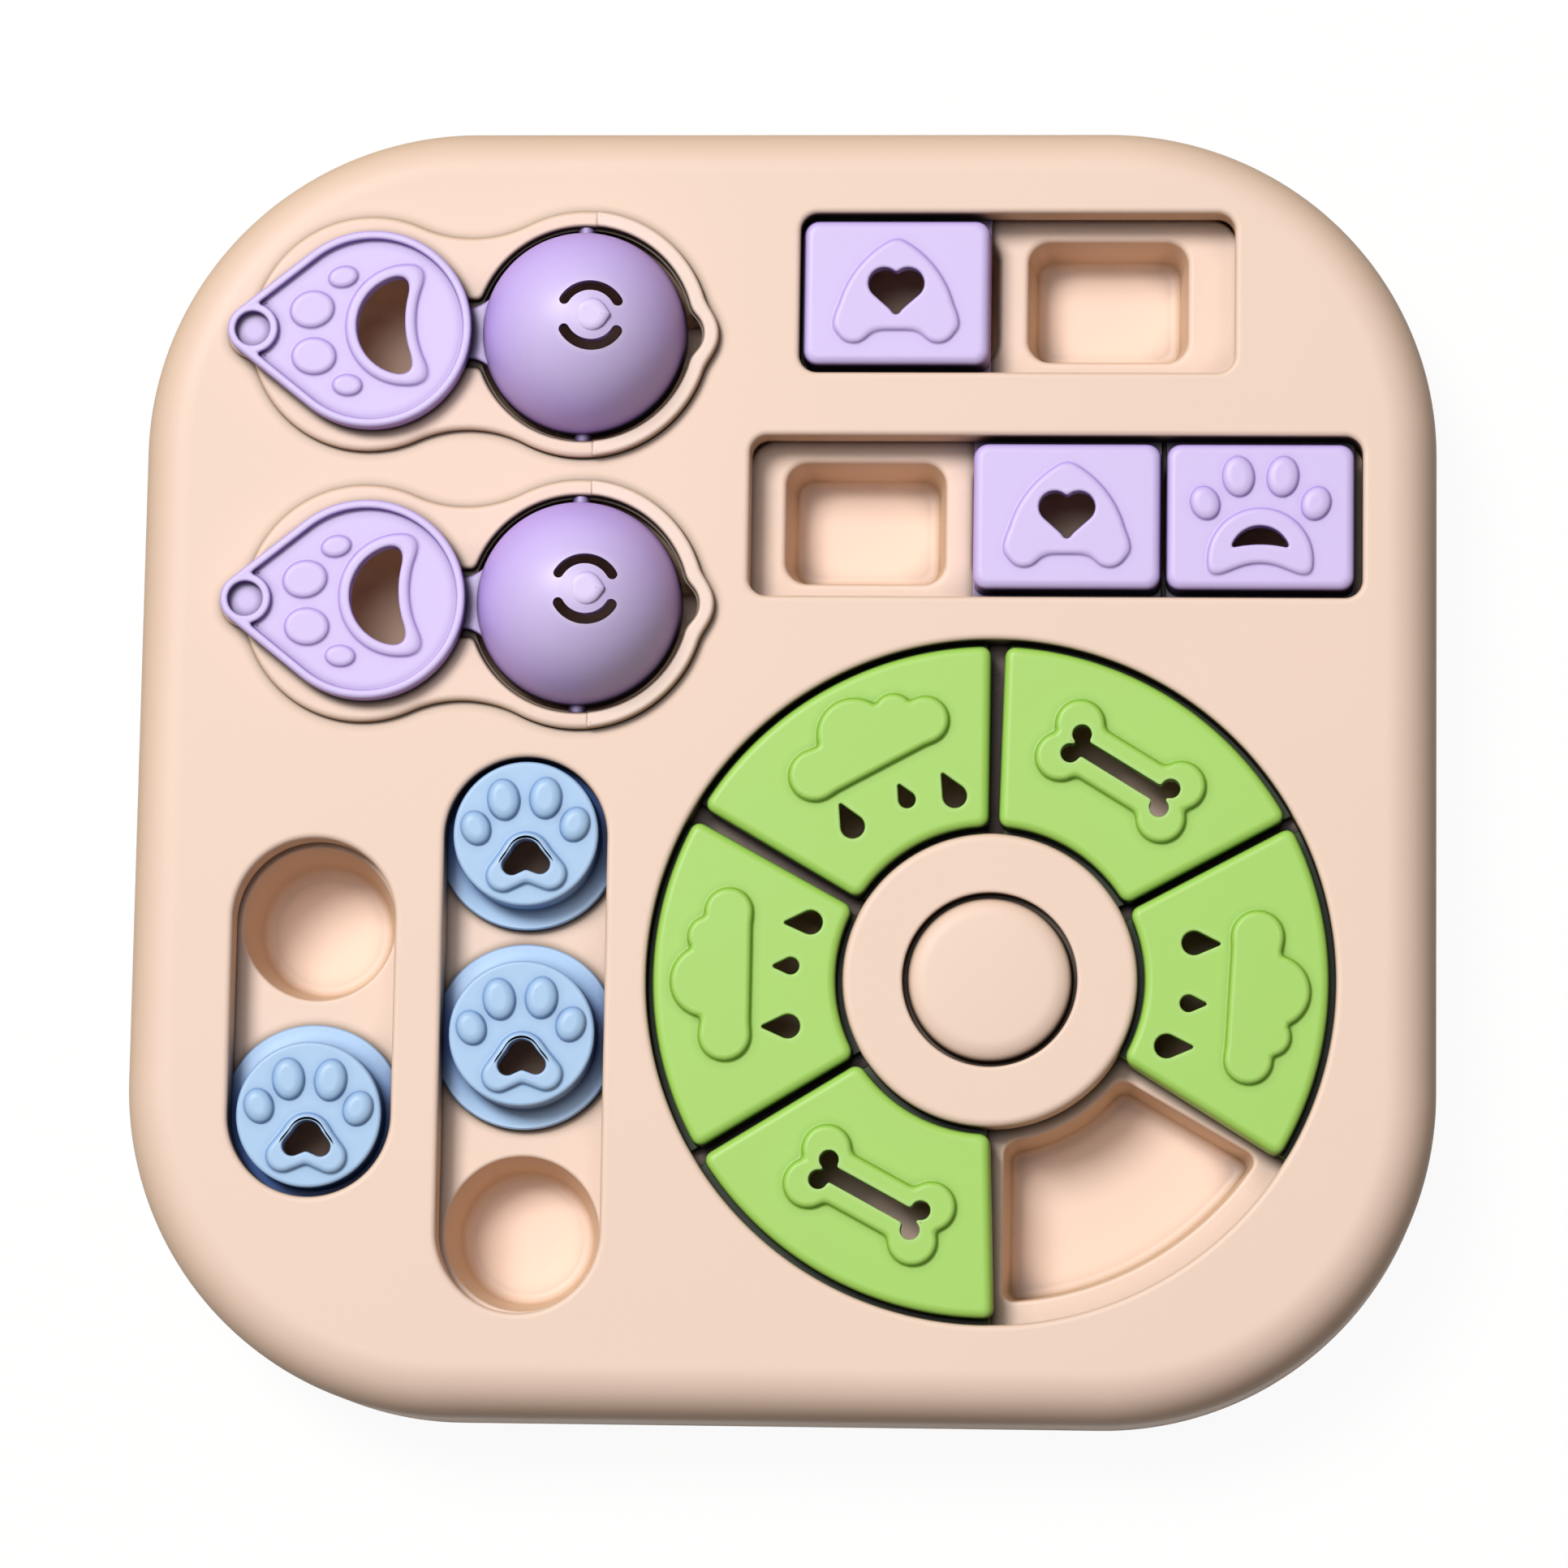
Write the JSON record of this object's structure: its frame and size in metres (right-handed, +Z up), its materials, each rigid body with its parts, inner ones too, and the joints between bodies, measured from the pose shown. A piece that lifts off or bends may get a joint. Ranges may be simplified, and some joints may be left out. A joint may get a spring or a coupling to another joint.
{
  "type": "cat puzzle feeder",
  "caption": "Square slow-feeding puzzle tray for cats, with treat wells under sliding blocks, sliding discs, flip lids with domes, and a wheel of wedges round a squeak button.",
  "frame": {"origin": "on the table under the middle of the tray", "axes": "+Z up, +X to the right and +Y to the rear as the picture shows the tray from above"},
  "size_m": [0.26, 0.26, 0.0552],
  "materials": {
    "beige_plastic": "satin moulded",
    "lilac_plastic": "satin moulded",
    "blue_plastic": "satin moulded",
    "green_plastic": "satin moulded",
    "white_plastic": "satin moulded",
    "squeaker_rubber": "soft matte",
    "foot_rubber": "soft matte",
    "screw_steel": "zinc plated"
  },
  "bodies": {
    "tray": {"top_cover": "beige_plastic", "bottom_pan": "beige_plastic", "rear_block_tray": "beige_plastic", "front_block_tray": "beige_plastic", "left_disc_tray": "beige_plastic", "right_disc_tray": "beige_plastic", "wheel_tray": "beige_plastic", "rear_lid_tray": "beige_plastic", "front_lid_tray": "beige_plastic", "rear_lid_seat": "beige_plastic", "front_lid_seat": "beige_plastic", "hub_ring": "beige_plastic", "squeaker_bulb": "squeaker_rubber", "squeaker_reed": "white_plastic", "cover_screws": "screw_steel", "hub_screws": "screw_steel", "rubber_feet": "foot_rubber"},
    "rear_flip_lid": {"rear_flip_lid": "lilac_plastic"},
    "front_flip_lid": {"front_flip_lid": "lilac_plastic"},
    "rear_block": {"rear_block": "lilac_plastic"},
    "front_block_middle": {"front_block_middle": "lilac_plastic"},
    "front_block_right": {"front_block_right": "lilac_plastic"},
    "left_disc": {"left_disc": "blue_plastic"},
    "right_disc_rear": {"right_disc_rear": "blue_plastic"},
    "right_disc_middle": {"right_disc_middle": "blue_plastic"},
    "wedge_right": {"wedge_right": "green_plastic"},
    "wedge_rear_right": {"wedge_rear_right": "green_plastic"},
    "wedge_rear_left": {"wedge_rear_left": "green_plastic"},
    "wedge_left": {"wedge_left": "green_plastic"},
    "wedge_front_left": {"wedge_front_left": "green_plastic"},
    "squeak_button": {"squeak_button": "beige_plastic"}
  },
  "joints": [
    {"name": "rear_flip_lid_hinge", "type": "hinge", "parent": "tray", "child": "rear_flip_lid", "pos_m": [-0.0407, 0.0865, 0.0345], "axis": [0, 1, 0], "range_deg": [0, 155]},
    {"name": "front_flip_lid_hinge", "type": "hinge", "parent": "tray", "child": "front_flip_lid", "pos_m": [-0.0407, 0.0315, 0.0345], "axis": [0, 1, 0], "range_deg": [0, 155]},
    {"name": "rear_block_slide", "type": "slide", "parent": "tray", "child": "rear_block", "axis": [1, 0, 0], "range_m": [0, 0.048]},
    {"name": "front_block_right_slide", "type": "slide", "parent": "tray", "child": "front_block_right", "axis": [1, 0, 0], "range_m": [-0.044, 0]},
    {"name": "front_block_middle_slide", "type": "slide", "parent": "tray", "child": "front_block_middle", "axis": [1, 0, 0], "range_m": [-0.044, 0]},
    {"name": "left_disc_slide", "type": "slide", "parent": "tray", "child": "left_disc", "axis": [0, 1, 0], "range_m": [0, 0.039]},
    {"name": "right_disc_rear_slide", "type": "slide", "parent": "tray", "child": "right_disc_rear", "axis": [0, 1, 0], "range_m": [-0.039, 0]},
    {"name": "right_disc_middle_slide", "type": "slide", "parent": "tray", "child": "right_disc_middle", "axis": [0, 1, 0], "range_m": [-0.039, 0]},
    {"name": "wedge_right_turn", "type": "hinge", "parent": "tray", "child": "wedge_right", "pos_m": [0.042, -0.043, 0.03], "axis": [0, 0, 1], "continuous": true},
    {"name": "wedge_rear_right_turn", "type": "hinge", "parent": "tray", "child": "wedge_rear_right", "pos_m": [0.042, -0.043, 0.03], "axis": [0, 0, 1], "continuous": true},
    {"name": "wedge_rear_left_turn", "type": "hinge", "parent": "tray", "child": "wedge_rear_left", "pos_m": [0.042, -0.043, 0.03], "axis": [0, 0, 1], "continuous": true},
    {"name": "wedge_left_turn", "type": "hinge", "parent": "tray", "child": "wedge_left", "pos_m": [0.042, -0.043, 0.03], "axis": [0, 0, 1], "continuous": true},
    {"name": "wedge_front_left_turn", "type": "hinge", "parent": "tray", "child": "wedge_front_left", "pos_m": [0.042, -0.043, 0.03], "axis": [0, 0, 1], "continuous": true},
    {"name": "squeak_button_press", "type": "slide", "parent": "tray", "child": "squeak_button", "axis": [0, 0, 1], "range_m": [-0.0035, 0], "stiffness_N_per_m": 800, "springref_m": 0.001, "deforming": ["squeaker_bulb"]}
  ],
  "couplings": [
    {"joint": "front_block_middle_slide", "follows": "front_block_right_slide", "ratio": 1},
    {"joint": "right_disc_middle_slide", "follows": "right_disc_rear_slide", "ratio": 1},
    {"joint": "wedge_rear_right_turn", "follows": "wedge_right_turn", "ratio": 1},
    {"joint": "wedge_rear_left_turn", "follows": "wedge_right_turn", "ratio": 1},
    {"joint": "wedge_left_turn", "follows": "wedge_right_turn", "ratio": 1},
    {"joint": "wedge_front_left_turn", "follows": "wedge_right_turn", "ratio": 1}
  ]
}
